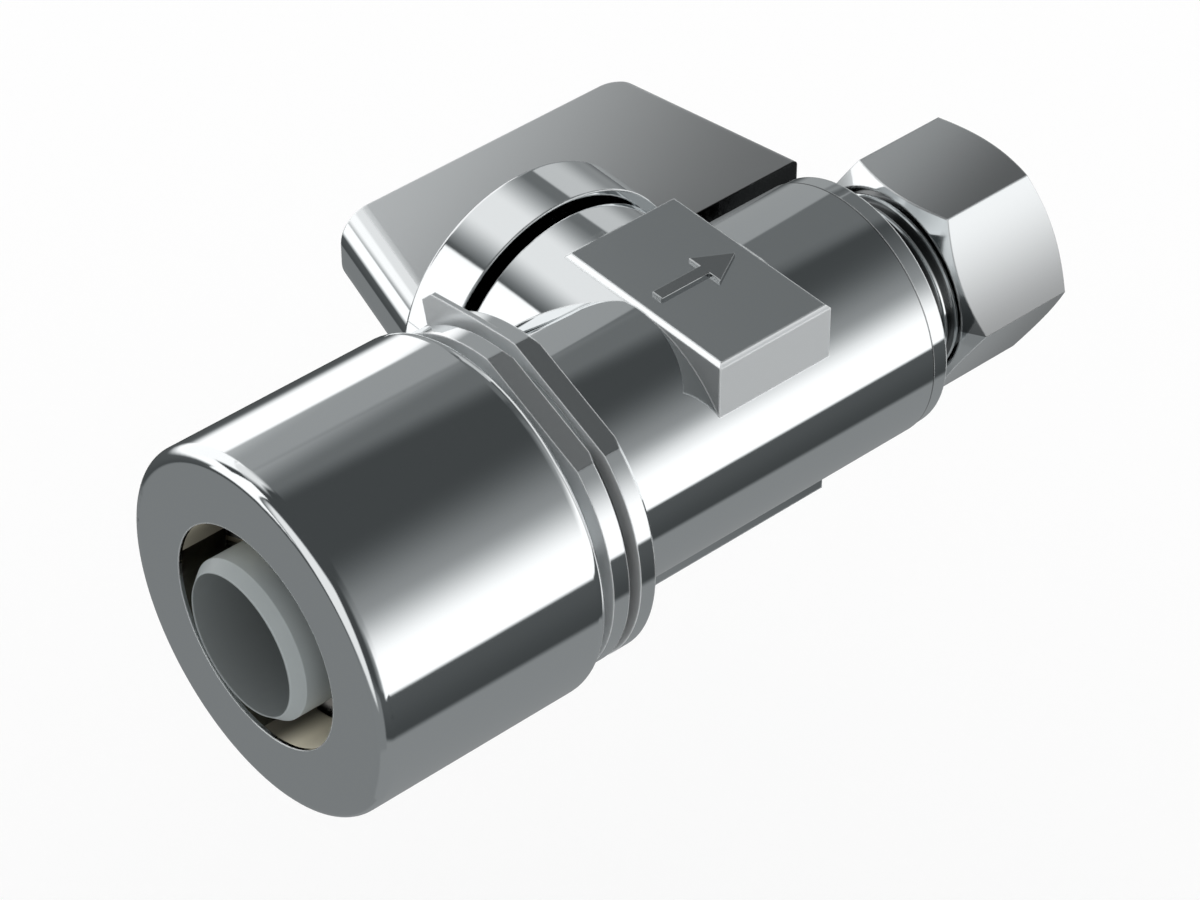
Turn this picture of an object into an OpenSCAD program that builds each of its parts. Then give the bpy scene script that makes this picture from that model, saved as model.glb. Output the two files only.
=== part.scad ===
// Quarter-turn stop valve: push-fit tube inlet, ball and stem, compression outlet.
// Lengths are in millimetres. X runs with the flow, Y along the stem to the handle, Z up.
// The origin is the centre of the collar's front face, on the flow line.

/* [Inlet tube] */
// Radius of the tube that pushes in over the liner
tube_r = 7.94; // [7.6:0.01:8.2]
// Radial gap between that tube and the collar's mouth
mouth_gap = 0.43; // [0.2:0.01:1]
// Depth from the collar's front face to the tube stop
tube_depth = 17.7; // [15:0.1:18]

/* [Liner] */
// Outer radius of the liner
liner_r = 6; // [5.2:0.05:6.4]
// Wall of the liner
liner_wall = 0.7; // [0.5:0.05:1.2]
// How far the liner stands out of the collar
liner_out = 1.2; // [0:0.1:3]
// Length of the chamfer on the liner's front edge
liner_chamfer = 0.9; // [0.3:0.1:1.5]
// Radius of the liner's foot, which sits in the adapter
liner_foot_r = 6.5; // [6.3:0.05:7]
// Length of that foot
liner_seat = 2.2; // [1:0.1:2.4]

/* [Collar] */
// Outer radius of the collar
collar_r = 13.75; // [13:0.05:16]
// Length of the collar
collar_len = 19.3; // [17:0.1:19.6]
// Rounding of the collar's front edge
collar_front_round = 1; // [0.1:0.05:1.4]
// Rounding of the collar's rear edge
collar_rear_round = 1.15; // [0.2:0.05:1.6]
// Thickness of the lip that holds the grab ring
lip_t = 4; // [2.5:0.1:4.5]
// Radius of the adapter's nose, which screws into the collar
nose_r = 11.2; // [10.8:0.05:11.8]

/* [Grab ring stack] */
// Thickness of the grab ring's sheet
grab_t = 0.4; // [0.3:0.05:0.6]
// Radius of the circle at the tips of the grab ring's teeth
grab_tip_r = 7.6; // [7.2:0.05:7.8]
// Inner radius of the grab ring's flat rim
grab_rim_r = 9.7; // [9.2:0.05:10.2]
// How far the teeth lean inwards along the flow
grab_lean = 1.1; // [0.6:0.05:1.4]
// Number of teeth on the grab ring
grab_teeth = 16; // [8:1:20]
// Width of the slot between two teeth
grab_slot = 0.8; // [0.4:0.05:1.2]
// Length of the spacer ring behind the grab ring
spacer_len = 2.5; // [2.1:0.1:2.8]
// Thickness of the washer in front of the socket O-ring
backup_t = 0.7; // [0.4:0.05:1]
// Radius of the socket O-ring's section
socket_ring_w = 1.35; // [1:0.05:1.5]
// How far the pushed-in tube squeezes the socket O-ring
socket_squeeze = 0.14; // [0.05:0.01:0.3]

/* [Inlet adapter] */
// Width across the two flats of both wrench plates
plate_af = 23.8; // [22.4:0.1:26]
// Place along the flow of the adapter's plate
plate_x = 20.2; // [20:0.1:20.6]
// Length of the adapter's plate
plate_len = 1.7; // [1:0.1:1.9]
// Radius of both wrench plates
plate_r = 12.9; // [12.3:0.05:13]
// Bevel on the rear edge of both wrench plates
plate_bevel = 0.3; // [0.1:0.05:0.5]
// Radius of the neck behind the adapter's wrench plate
neck_r = 11.3; // [10.5:0.1:11.6]
// Radius of the spigot that screws into the body
spigot_r = 8.4; // [8:0.05:8.6]
// Radius of the adapter O-ring's section
adapter_ring_w = 0.74; // [0.6:0.02:0.9]
// Place of the adapter O-ring behind the body's front face
adapter_ring_dx = 2.6; // [1.8:0.1:4]

/* [Body] */
// Place along the flow of the body's front face
body_x = 22.6; // [22.4:0.1:23]
// Radius of the body's barrel
barrel_r = 9.95; // [9.8:0.05:10.4]
// Place along the flow of the barrel's rear end
barrel_end_x = 54; // [53:0.1:56]
// Length of the tapered ring at the barrel's rear end
barrel_ring_len = 1.3; // [0.8:0.05:2.5]
// Step down from the barrel to that ring
barrel_ring_step = 0.06; // [0.02:0.01:0.2]
// How far the ring tapers
barrel_ring_drop = 0.06; // [0.02:0.02:0.6]
// Length of the body's wrench plate
flange_len = 1.6; // [1.4:0.1:2.2]
// Thickness of the flat-topped plate in front of the body's wrench plate
horn_t = 0.4; // [0.3:0.05:1.3]

/* [Pads] */
// Height of the flat top pad above the flow line
pad_top = 10.2; // [10:0.05:10.6]
// Place along the flow of the top pad's front side
pad_x = 33.72; // [32:0.1:35]
// Length of the top pad along the flow
pad_len = 10.14; // [8:0.1:12]
// Reach of the top pad to the side away from the handle
pad_near = 8.2; // [7:0.1:9]
// Reach of the top pad to the handle's side
pad_far = 8; // [7:0.1:8.5]
// Bevel round the top pad
pad_bevel = 0.3; // [0.1:0.05:0.6]
// Depth of the flat bottom pad below the flow line
foot_z = 10.2; // [10:0.05:10.6]
// Half of the bottom pad's width
foot_half = 5.15; // [4:0.05:6]
// Place along the flow of the bottom pad's rear end
foot_end_x = 46.8; // [42:0.1:50]

/* [Stem] */
// Place along the flow of the stem's axis
stem_x = 36.44; // [36:0.1:38]
// Radius of the round boss that carries the stem
boss_r = 10.2; // [9.4:0.05:10.6]
// Height of the boss's front face from the flow line
boss_y = 10.95; // [10.8:0.05:11.3]
// Radius of the stem
stem_r = 3; // [2.8:0.05:3.2]
// Radius of the stem's collar, which keeps the stem from blowing out
stem_collar_r = 4.2; // [3.9:0.05:4.5]
// Thickness of the stem's collar
stem_collar_t = 0.6; // [0.4:0.05:0.65]
// Height at which the stem's bore starts
stem_bore_y = 7.2; // [7.1:0.05:7.5]
// Thickness of the thrust washer
thrust_t = 0.45; // [0.3:0.05:0.6]
// Radius of the stem O-rings' section
stem_ring_w = 0.39; // [0.3:0.01:0.45]
// Room along the stem that a groove has beyond its O-ring
stem_groove_room = 0.22; // [0.1:0.02:0.3]
// Distance of the inner O-ring from the start of the stem's bore
inner_groove_dy = 1; // [0.7:0.05:1.2]
// Distance of the outer O-ring from the boss's front face
outer_groove_dy = 1.15; // [0.8:0.05:1.4]
// Width across the two flats of the stem's head
stem_flats = 4.4; // [4:0.1:4.8]
// Height of the stem's end above the boss
stem_head = 6.45; // [5:0.05:6.5]
// Width of the tongue that turns the ball
tongue_w = 3; // [2.4:0.1:3.4]
// Length of the tongue across the ball
tongue_len = 7.6; // [6:0.1:8]
// Depth of the tongue in the ball's slot
tongue_dip = 1.25; // [0.8:0.05:1.3]

/* [Ball and seats] */
// Radius of the ball
ball_r = 6.3; // [6.2:0.05:6.5]
// Radius of the hole through the ball
ball_bore_r = 3.5; // [3:0.05:3.8]
// Half of the chamber's length, from the stem's axis to the back of a seat
seat_reach = 6.64; // [6.5:0.02:6.9]
// Outer radius of a seat
seat_r = 6.95; // [6.8:0.05:7.2]
// Radius of the hole in a seat
seat_bore_r = 3.75; // [3.6:0.05:4]
// Gap between the ball and a seat's face
seat_gap = 0.12; // [0.05:0.01:0.2]

/* [Outlet] */
// Radius of the outlet tube
outlet_tube_r = 4.76; // [4.4:0.01:4.9]
// Depth of the outlet tube's socket
outlet_depth = 6; // [4:0.1:7]
// Radius of the water way to the outlet
outlet_way_r = 3.6; // [3:0.05:3.8]
// Radius at the root of the outlet's male thread
thread_root_r = 6.49; // [6.3:0.01:6.7]
// Height of the outlet's male thread
thread_h = 0.65; // [0.4:0.01:0.7]
// Length of the outlet's male thread
thread_len = 6.8; // [6:0.1:6.8]

/* [Nut and ferrule] */
// Width across the flats of the compression nut
nut_af = 15.88; // [15.6:0.01:17]
// Length of the compression nut
nut_len = 9.8; // [9.4:0.1:11]
// Gap between the barrel's rear end and the nut, as backed off
nut_gap = 3.7; // [3:0.1:4]
// Radius of the nut's end faces inside their turned chamfers
nut_face_r = 7.55; // [7.5:0.01:7.7]
// Chamfer at the mouth of the nut's thread
nut_mouth = 0.25; // [0.1:0.05:0.3]
// Thickness of the nut's rear wall
nut_wall = 1.2; // [0.8:0.1:1.6]
// Length of the ferrule
ferrule_len = 4.6; // [4:0.1:4.8]
// Wall of the ferrule, both ends of which taper at 45 degrees
ferrule_wall = 0.8; // [0.6:0.05:0.9]

/* [Handle] */
// Radius of the handle's hub
hub_r = 10.95; // [9.5:0.05:11]
// Gap between the boss and the hub
hub_gap = 0.7; // [0.4:0.05:0.9]
// Length of the hub along the stem
hub_len = 4.65; // [4:0.05:5.5]
// Rounding of the hub's edge at the boss
hub_edge = 0.1; // [0.05:0.05:0.4]
// Rounding of the hub's outer edge
hub_round = 0.35; // [0.1:0.05:0.6]
// Thickness of the handle's blade
blade_t = 6.5; // [6.2:0.1:8]
// Height of the blade's inner edge from the flow line
blade_y = 12; // [11.9:0.05:12.6]
// Height of the blade's outer edge from the flow line
blade_top = 28.4; // [24:0.1:32]
// Reach of the blade's inner edge past the stem's axis to the outlet
blade_reach = 23.2; // [18:0.1:28]
// Reach of the blade's inner edge past the stem's axis to the inlet
blade_back = 11.3; // [10.95:0.05:11.4]
// Slope of the blade's edge on the inlet side, in degrees
back_slope = 15.2; // [0:0.1:20]
// Slope of the blade's edge on the outlet side, in degrees
reach_slope = 10.6; // [0:0.1:20]
// Rounding of the blade's edge on the inlet side
back_round = 2.4; // [1:0.1:3]
// Rounding of the blade's other edges
blade_round = 0.5; // [0.2:0.05:1]
// Rounding of the blade's outer corner, seen flat
corner_round = 2.5; // [1:0.1:4]
// Radius of the stop lug on the boss
lug_r = 1.1; // [0.8:0.05:1.3]
// Distance of the stop lug from the stem's axis
lug_orbit = 7.6; // [7:0.1:8]
// How far the stop lug stands into the hub
lug_dip = 0.95; // [0.6:0.05:1.2]
// Angle that the handle turns from open to shut
turn = 90; // [60:1:100]

/* [Handle screw] */
// Radius of the handle screw's thread
screw_r = 1.25; // [1:0.05:1.4]
// Radius of the handle screw's head
screw_head_r = 2.2; // [1.8:0.05:2.3]
// Height of the handle screw's head
screw_head_h = 1.6; // [1:0.1:2]
// Length of the handle screw below its head
screw_len = 6.5; // [5:0.1:7]
// Thickness of the web under the screw's head
web_t = 0.7; // [0.5:0.05:1]
// Width across the flats of the screw's socket
screw_socket = 1.5; // [1:0.1:2]

/* [Clearances] */
// Radial gap of threads and other pieces that are screwed home
thread_gap = 0.1; // [0.05:0.01:0.15]
// Radial gap of turning and sliding fits
run_gap = 0.05; // [0.02:0.01:0.08]
// Gap between the stacked pieces in the collar
stack_gap = 0.05; // [0.02:0.01:0.1]
// Radial gap round the inlet tube in the adapter
socket_gap = 0.26; // [0.1:0.01:0.3]
// Radial gap round the outlet tube in its socket
tube_gap = 0.08; // [0.06:0.01:0.2]
// Gap between an O-ring and the walls of its groove
ring_gap = 0.01; // [0.005:0.005:0.02]
// Gap round the stop lug in its groove
lug_gap = 0.3; // [0.2:0.05:0.4]
// Gap between the stem's end and the handle
head_gap = 0.1; // [0.05:0.05:0.3]
// Radial gap of the handle screw in the stem
pilot_gap = 0.02; // [0.01:0.01:0.05]
// Side gap of the tongue in the ball's slot
tongue_gap = 0.1; // [0.05:0.01:0.2]

/* [Hidden] */
$fn = 96;

// Cuts run this far past the faces that they open
past = 1;

// Collar and stack
mouth_r = tube_r + mouth_gap;
collar_bore_r = nose_r + thread_gap;
stack_r = nose_r;
grab_x = lip_t + stack_gap;
spacer_x = grab_x + grab_t + stack_gap;
backup_x = spacer_x + spacer_len + stack_gap;
nose_x = backup_x + backup_t + stack_gap;
ring_seat_x = nose_x + 2 * (socket_ring_w + stack_gap);
socket_r = tube_r + socket_gap;
socket_ring_r = tube_r - socket_squeeze + socket_ring_w;
ring_seat_r = socket_ring_r + socket_ring_w + run_gap;

// Liner and water way
liner_end_x = tube_depth + liner_seat;
way_r = liner_r - liner_wall;

// Barrel's end ring
barrel_ring_x = barrel_end_x - barrel_ring_len;
barrel_ring_r = barrel_r - barrel_ring_step;

// Wrench plates
plate_turn = 22.5;
plate_end_x = plate_x + plate_len;
flange_end_x = body_x + flange_len;

// Ball chamber
chamber_r = seat_r + run_gap;
chamber_x = stem_x - seat_reach;
chamber_end_x = stem_x + seat_reach;
inlet_bore_r = spigot_r + thread_gap;
adapter_ring_x = body_x + adapter_ring_dx;
adapter_ring_r = inlet_bore_r - ring_gap - adapter_ring_w;
adapter_groove_r = adapter_ring_r - adapter_ring_w - ring_gap;
stem_pocket_r = stem_collar_r + thread_gap;
seat_front = stem_pocket_r + thread_gap;

// Stem
stem_bore_r = stem_r + run_gap;
stem_collar_y = stem_bore_y - thrust_t - stem_collar_t;
stem_end_y = boss_y + stem_head;
slot_floor_y = stem_collar_y - tongue_dip - 2 * tongue_gap;
stem_ring_r = stem_bore_r - ring_gap - stem_ring_w;
stem_groove_r = stem_ring_r - stem_ring_w - ring_gap;
stem_groove_len = 2 * stem_ring_w + stem_groove_room;
inner_groove_y = stem_bore_y + inner_groove_dy;
outer_groove_y = boss_y - outer_groove_dy;

// Outlet
outlet_r = outlet_tube_r + tube_gap;
thread_end_x = barrel_end_x + thread_len;
thread_r = thread_root_r + thread_h;
socket_x = thread_end_x - outlet_depth;
nut_x = barrel_end_x + nut_gap;
nut_end_x = nut_x + nut_len;
nut_bore_r = thread_r + run_gap;
ferrule_bore_r = outlet_r;
ferrule_r = outlet_r + ferrule_wall;
nut_cone_x = nut_end_x - nut_wall - ferrule_wall;
ferrule_end_x = nut_end_x - nut_wall - run_gap;

// Handle
hub_y = boss_y + hub_gap;
hub_end_y = hub_y + hub_len;
blade_half = blade_t / 2;
blade_h = blade_top - blade_y;
head_hole_y = stem_end_y + head_gap;
screw_seat_y = head_hole_y + web_t;

module x_way() rotate([0, 90, 0]) children();
module y_way() translate([stem_x, 0, 0]) rotate([-90, 0, 0]) children();
module rod(r, from, to) translate([0, 0, from]) cylinder(r = r, h = to - from);
module torus(ring_r, w, at) translate([0, 0, at]) rotate_extrude() translate([ring_r, 0]) circle(w);
module turned(points) rotate_extrude() polygon(points);

// Half section of a turned bar with a rounded outer edge at each end
module round_bar(r, from, to, edge, end_edge)
    rotate_extrude() {
        translate([0, from + edge]) square([r, to - from - edge - end_edge]);
        translate([0, from]) square([r - edge, 2 * edge]);
        translate([0, to - 2 * end_edge]) square([r - end_edge, 2 * end_edge]);
        translate([r - edge, from + edge]) circle(edge);
        translate([r - end_edge, to - end_edge]) circle(end_edge);
    }

// Round plate with two opposite flats and a bevelled rear edge
module wrench_plate(from, to)
    intersection() {
        turned([[0, from], [plate_r, from], [plate_r, to - plate_bevel], [plate_r - plate_bevel, to],
            [0, to]]);
        rotate(plate_turn) translate([-plate_af / 2, -plate_r - past, from - past])
            cube([plate_af, 2 * (plate_r + past), to - from + 2 * past]);
    }

// Flat-topped plate that stands in front of the body's wrench plate beside the boss, seen along the flow
module horn_outline()
    polygon([[0, 0], [-1.6, 12.1], [1.4, 12.8], [4.2, 12.5], [9, 11.7], [9.95, 10.7], [9.4, 8.5]]);

module horns()
    translate([body_x, 0, 0]) rotate([90, 0, 90]) linear_extrude(horn_t) {
        horn_outline();
        mirror([0, 1]) horn_outline();
    }

// Block with its upper edges bevelled
module top_pad() {
    pad_w = pad_near + pad_far;
    low = pad_bevel;
    intersection() {
        translate([pad_x, pad_far, 0]) rotate([90, 0, 0]) linear_extrude(pad_w)
            polygon([[0, 0], [pad_len, 0], [pad_len, pad_top - low], [pad_len - low, pad_top],
                [low, pad_top], [0, pad_top - low]]);
        translate([pad_x, -pad_near, 0]) rotate([90, 0, 90]) linear_extrude(pad_len)
            polygon([[0, 0], [pad_w, 0], [pad_w, pad_top - low], [pad_w - low, pad_top],
                [low, pad_top], [0, pad_top - low]]);
    }
}

module foot()
    translate([body_x, -foot_half, -foot_z])
        cube([foot_end_x - body_x, 2 * foot_half, foot_z]);

module valve_body()
    color("silver") difference() {
        union() {
            x_way() turned([[0, body_x], [barrel_r, body_x], [barrel_r, barrel_ring_x],
                [barrel_ring_r, barrel_ring_x], [barrel_ring_r - barrel_ring_drop, barrel_end_x],
                [0, barrel_end_x]]);
            x_way() wrench_plate(body_x, flange_end_x);
            horns();
            y_way() rod(boss_r, 0, boss_y);
            top_pad();
            foot();
            x_way() rod(thread_root_r, barrel_end_x - past, thread_end_x);
            y_way() rotate([0, 0, 90]) translate([lug_orbit, 0, 0])
                rod(lug_r, boss_y - past, hub_y + lug_dip);
        }
        x_way() {
            rod(inlet_bore_r, body_x - past, chamber_x);
            rod(chamber_r, chamber_x - past, chamber_end_x);
            rod(outlet_way_r, chamber_end_x - past, socket_x + past);
            rod(outlet_r, socket_x, thread_end_x + past);
            turned([[0, thread_end_x - ferrule_wall], [outlet_r, thread_end_x - ferrule_wall],
                [ferrule_r, thread_end_x], [ferrule_r, thread_end_x + past], [0, thread_end_x + past]]);
        }
        y_way() {
            rod(stem_pocket_r, 0, stem_bore_y);
            rod(stem_bore_r, stem_bore_y - past, boss_y + past);
        }
    }

module inlet_adapter()
    color("silver") x_way() difference() {
        union() {
            rod(nose_r, nose_x, plate_x + past);
            wrench_plate(plate_x, plate_end_x);
            rod(neck_r, plate_end_x - past, body_x);
            rod(spigot_r, body_x - past, chamber_x);
        }
        rod(ring_seat_r, nose_x - past, ring_seat_x);
        rod(socket_r, ring_seat_x - past, tube_depth);
        rod(liner_foot_r + run_gap, tube_depth - past, liner_end_x);
        rod(way_r, liner_end_x - past, chamber_x + past);
        translate([0, 0, adapter_ring_x]) difference() {
            rod(spigot_r + past, -adapter_ring_w - 2 * ring_gap, adapter_ring_w + 2 * ring_gap);
            rod(adapter_groove_r, -past, past);
        }
    }

module adapter_o_ring()
    color("dimgray") x_way() torus(adapter_ring_r, adapter_ring_w, adapter_ring_x);

module inlet_collar()
    color("silver") x_way() difference() {
        round_bar(collar_r, 0, collar_len, collar_front_round, collar_rear_round);
        rod(mouth_r, -past, lip_t + past);
        rod(collar_bore_r, lip_t, collar_len + past);
    }

module tube_liner()
    color("slategray") x_way() turned([[way_r, -liner_out], [liner_r, liner_chamfer - liner_out],
        [liner_r, tube_depth], [liner_foot_r, tube_depth], [liner_foot_r, liner_end_x],
        [way_r, liner_end_x]]);

// Sheet ring whose inner part is cut into teeth that lean along the flow
module grab_ring()
    color("gainsboro") x_way() difference() {
        turned([[stack_r, grab_x], [stack_r, grab_x + grab_t], [grab_rim_r, grab_x + grab_t],
            [grab_tip_r, grab_x + grab_t + grab_lean], [grab_tip_r, grab_x + grab_lean],
            [grab_rim_r, grab_x]]);
        for (i = [0:grab_teeth - 1])
            rotate([0, 0, i * 360 / grab_teeth])
                translate([0, -grab_slot / 2, grab_x - past])
                    cube([grab_rim_r, grab_slot, grab_lean + grab_t + 2 * past]);
    }

module spacer_ring()
    color("wheat") x_way() turned([[stack_r, spacer_x], [stack_r, spacer_x + spacer_len],
        [socket_r, spacer_x + spacer_len], [socket_r, spacer_x + grab_lean + stack_gap],
        [grab_rim_r, spacer_x]]);

module backup_washer()
    color("goldenrod") x_way() difference() {
        rod(stack_r, backup_x, backup_x + backup_t);
        rod(socket_r, backup_x - past, backup_x + backup_t + past);
    }

module socket_o_ring()
    color("dimgray") x_way() torus(socket_ring_r, socket_ring_w, (nose_x + ring_seat_x) / 2);

// Ball with the water way along the flow and the tongue's slot across its top
module ball()
    color("gainsboro") difference() {
        translate([stem_x, 0, 0]) sphere(ball_r);
        x_way() rod(ball_bore_r, stem_x - ball_r - past, stem_x + ball_r + past);
        translate([stem_x - tongue_w / 2 - tongue_gap, slot_floor_y, -ball_r - past])
            cube([tongue_w + 2 * tongue_gap, ball_r, 2 * (ball_r + past)]);
    }

// Seat on the outlet side, with a face turned to the ball
module seat()
    translate([stem_x, 0, 0]) difference() {
        x_way() rod(seat_r, seat_front, seat_reach);
        x_way() rod(seat_bore_r, 0, seat_reach + past);
        sphere(ball_r + seat_gap);
    }

module outlet_seat()
    color("ivory") seat();

module inlet_seat()
    color("ivory") translate([2 * stem_x, 0, 0]) mirror([1, 0, 0]) seat();

module stem_groove(at)
    difference() {
        rod(stem_r + past, at - stem_groove_len / 2, at + stem_groove_len / 2);
        rod(stem_groove_r, at - stem_groove_len, at + stem_groove_len);
    }

// Round bar with two flats that face up and down
module two_flat_bar(r, flats, from, to)
    intersection() {
        rod(r, from, to);
        translate([-r, -flats / 2, from]) cube([2 * r, flats, to - from]);
    }

module stem()
    color("gold") y_way() difference() {
        union() {
            rod(stem_r, stem_collar_y, boss_y);
            two_flat_bar(stem_r, stem_flats, boss_y - past, stem_end_y);
            rod(stem_collar_r, stem_collar_y, stem_collar_y + stem_collar_t);
            translate([-tongue_w / 2, -tongue_len / 2, stem_collar_y - tongue_dip])
                cube([tongue_w, tongue_len, tongue_dip + stem_collar_t]);
        }
        stem_groove(inner_groove_y);
        stem_groove(outer_groove_y);
        rod(screw_r + pilot_gap, screw_seat_y - screw_len - past / 2, stem_end_y + past);
    }

module thrust_washer()
    color("white") y_way() difference() {
        rod(stem_collar_r, stem_bore_y - thrust_t, stem_bore_y);
        rod(stem_bore_r, stem_bore_y - thrust_t - past, stem_bore_y + past);
    }

module inner_stem_o_ring()
    color("dimgray") y_way() torus(stem_ring_r, stem_ring_w, inner_groove_y);

module outer_stem_o_ring()
    color("dimgray") y_way() torus(stem_ring_r, stem_ring_w, outer_groove_y);

// Section of a long plate whose left edge is rounded, laid with that edge on the axis
module round_plate(edge, width)
    linear_extrude(3 * blade_h, center = true) {
        translate([edge, -blade_half]) square([width, blade_t]);
        translate([0, edge - blade_half]) square([width, blade_t - 2 * edge]);
        translate([edge, edge - blade_half]) circle(edge);
        translate([edge, blade_half - edge]) circle(edge);
    }

// Blade, seen along Z: two sloping edges, a straight outer edge and one round corner
module blade_outline() {
    lean = tan(reach_slope);
    top_x = blade_reach - lean * blade_h;
    hub_x = blade_reach - lean * (blade_h - corner_round) - corner_round / cos(reach_slope);
    translate([stem_x, blade_y]) {
        polygon([[-blade_back, 0], [blade_reach, 0],
            [hub_x + corner_round * cos(reach_slope), blade_h - corner_round * (1 - sin(reach_slope))],
            [hub_x, blade_h], [min(top_x, blade_h * tan(back_slope) - blade_back), blade_h]]);
        translate([hub_x, blade_h - corner_round]) circle(corner_round);
    }
}

module blade()
    intersection() {
        translate([0, 0, -blade_half]) linear_extrude(blade_t) blade_outline();
        translate([stem_x - blade_back, blade_y, 0]) rotate([0, 0, -back_slope])
            rotate([-90, 0, 0]) round_plate(back_round, 3 * blade_reach);
        translate([stem_x + blade_reach, blade_y, 0]) rotate([0, 0, reach_slope])
            mirror([1, 0, 0]) rotate([-90, 0, 0]) round_plate(blade_round, 3 * blade_reach);
        translate([stem_x, blade_top, 0]) rotate([0, 0, -90])
            rotate([-90, 0, 0]) round_plate(blade_round, 2 * blade_h);
    }

// Curved groove under the hub that runs against the stop lug at each end of the turn
module stop_groove() {
    wide = lug_r + lug_gap;
    deep = hub_y + lug_dip + lug_gap;
    translate([0, 0, hub_y - past]) rotate([0, 0, 90]) rotate_extrude(angle = turn)
        translate([lug_orbit - wide, 0]) square([2 * wide, deep - hub_y + past]);
    for (at = [90, 90 + turn])
        rotate([0, 0, at]) translate([lug_orbit, 0, 0]) rod(wide, hub_y - past, deep);
}

module handle()
    color("silver") difference() {
        union() {
            y_way() round_bar(hub_r, hub_y, hub_end_y, hub_edge, hub_round);
            blade();
        }
        y_way() {
            two_flat_bar(stem_r + run_gap, stem_flats + 2 * run_gap, hub_y - past, head_hole_y);
            rod(screw_r + thread_gap, hub_y, screw_seat_y + past);
            rod(screw_head_r + 2 * thread_gap, screw_seat_y, blade_top + past);
            stop_groove();
        }
    }

module handle_screw()
    color("lightgray") y_way() difference() {
        union() {
            rod(screw_r, screw_seat_y - screw_len, screw_seat_y + past / 2);
            rod(screw_head_r, screw_seat_y, screw_seat_y + screw_head_h);
        }
        translate([0, 0, screw_seat_y + screw_head_h / 2])
            cylinder(r = screw_socket / 2 / cos(30), h = screw_head_h, $fn = 6);
    }

module compression_nut() {
    corner_r = nut_af / 2 / cos(30);
    slope = (corner_r + past - nut_face_r) * tan(30);
    color("silver") x_way() difference() {
        intersection() {
            translate([0, 0, nut_x]) rotate([0, 0, 30]) cylinder(r = corner_r, h = nut_len, $fn = 6);
            turned([[0, nut_x], [nut_face_r, nut_x], [corner_r + past, nut_x + slope],
                [corner_r + past, nut_end_x - slope], [nut_face_r, nut_end_x], [0, nut_end_x]]);
        }
        rod(nut_bore_r, nut_x - past, nut_cone_x - past);
        turned([[0, nut_x], [nut_bore_r + nut_mouth, nut_x], [nut_bore_r, nut_x + nut_mouth],
            [0, nut_x + nut_mouth]]);
        turned([[0, nut_cone_x - 2 * past], [nut_bore_r, nut_cone_x - past], [ferrule_r + thread_gap,
            nut_cone_x], [outlet_r + thread_gap, nut_end_x - nut_wall], [0, nut_end_x - nut_wall]]);
        rod(outlet_r + thread_gap, nut_end_x - nut_wall - past, nut_end_x + past);
    }
}

module ferrule()
    color("goldenrod") x_way() turned([[ferrule_bore_r, ferrule_end_x - ferrule_len],
        [ferrule_r, ferrule_end_x - ferrule_len + ferrule_wall], [ferrule_r, ferrule_end_x - ferrule_wall],
        [ferrule_bore_r, ferrule_end_x]]);

valve_body();
inlet_adapter();
adapter_o_ring();
inlet_collar();
tube_liner();
grab_ring();
spacer_ring();
backup_washer();
socket_o_ring();
ball();
inlet_seat();
outlet_seat();
stem();
thrust_washer();
inner_stem_o_ring();
outer_stem_o_ring();
handle();
handle_screw();
compression_nut();
ferrule();
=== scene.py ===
"""Dresses the quarter-turn stop valve: plated, brass, plastic and rubber finishes, the
ridge of the outlet's thread, a plain flow arrow, and the stage with its studio light and camera."""

from collections import namedtuple
from math import cos, pi, radians, sin, tan

import bpy
from bpy.props import FloatProperty, FloatVectorProperty, IntProperty, PointerProperty
from mathutils import Matrix, Vector


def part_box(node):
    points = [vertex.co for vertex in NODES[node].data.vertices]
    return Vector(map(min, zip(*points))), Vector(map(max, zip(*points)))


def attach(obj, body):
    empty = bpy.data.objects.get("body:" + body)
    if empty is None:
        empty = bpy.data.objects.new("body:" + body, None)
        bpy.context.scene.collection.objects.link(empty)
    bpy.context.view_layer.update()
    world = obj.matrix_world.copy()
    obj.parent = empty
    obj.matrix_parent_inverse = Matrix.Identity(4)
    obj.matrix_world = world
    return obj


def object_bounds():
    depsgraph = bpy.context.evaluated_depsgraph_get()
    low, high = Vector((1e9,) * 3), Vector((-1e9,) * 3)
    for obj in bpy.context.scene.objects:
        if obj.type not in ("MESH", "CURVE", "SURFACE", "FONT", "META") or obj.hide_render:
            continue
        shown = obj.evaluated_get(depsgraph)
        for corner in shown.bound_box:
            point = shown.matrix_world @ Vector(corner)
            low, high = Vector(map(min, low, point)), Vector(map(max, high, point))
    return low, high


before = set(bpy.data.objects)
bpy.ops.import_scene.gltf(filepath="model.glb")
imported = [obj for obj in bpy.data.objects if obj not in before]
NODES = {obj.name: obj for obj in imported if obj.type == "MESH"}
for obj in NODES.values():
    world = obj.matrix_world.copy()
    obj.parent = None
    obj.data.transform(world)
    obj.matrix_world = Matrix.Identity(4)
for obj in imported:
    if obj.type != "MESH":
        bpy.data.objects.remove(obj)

bl_info = {
    "name": "Stop Valve Finishes",
    "version": (1, 0, 0),
    "blender": (4, 5, 0),
    "location": "View3D > Sidebar > Valve",
    "description": "Gives a stop valve its finishes, its thread, its flow arrow and its stage",
    "category": "Object",
}

MM = 0.001
# Half of the thickness of the thin boxes that pick out one flat face
SKIN = 0.04 * MM
# Share of the metal's shine taken off along its edges, so that they show a painted highlight
EDGE_HIGHLIGHT = 0.4
# How much lighter a moulded edge is than its face, as a painted highlight, and how much of that shows
EDGE_LIFT = 1.5
MOULDED_HIGHLIGHT = 0.5
# Cosine of the angle between face and rounded edge at which the painted edge highlight starts, and where it
# is full
HIGHLIGHT_FROM = 0.995
HIGHLIGHT_FULL = 0.96
# How much of its clouds a metal or a moulded finish shows, and the share of the colour left in them
METAL_CLOUDS = (0.12, 0.93)
MOULDED_CLOUDS = (0.4, 0.8)
CAD_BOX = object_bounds()
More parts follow.
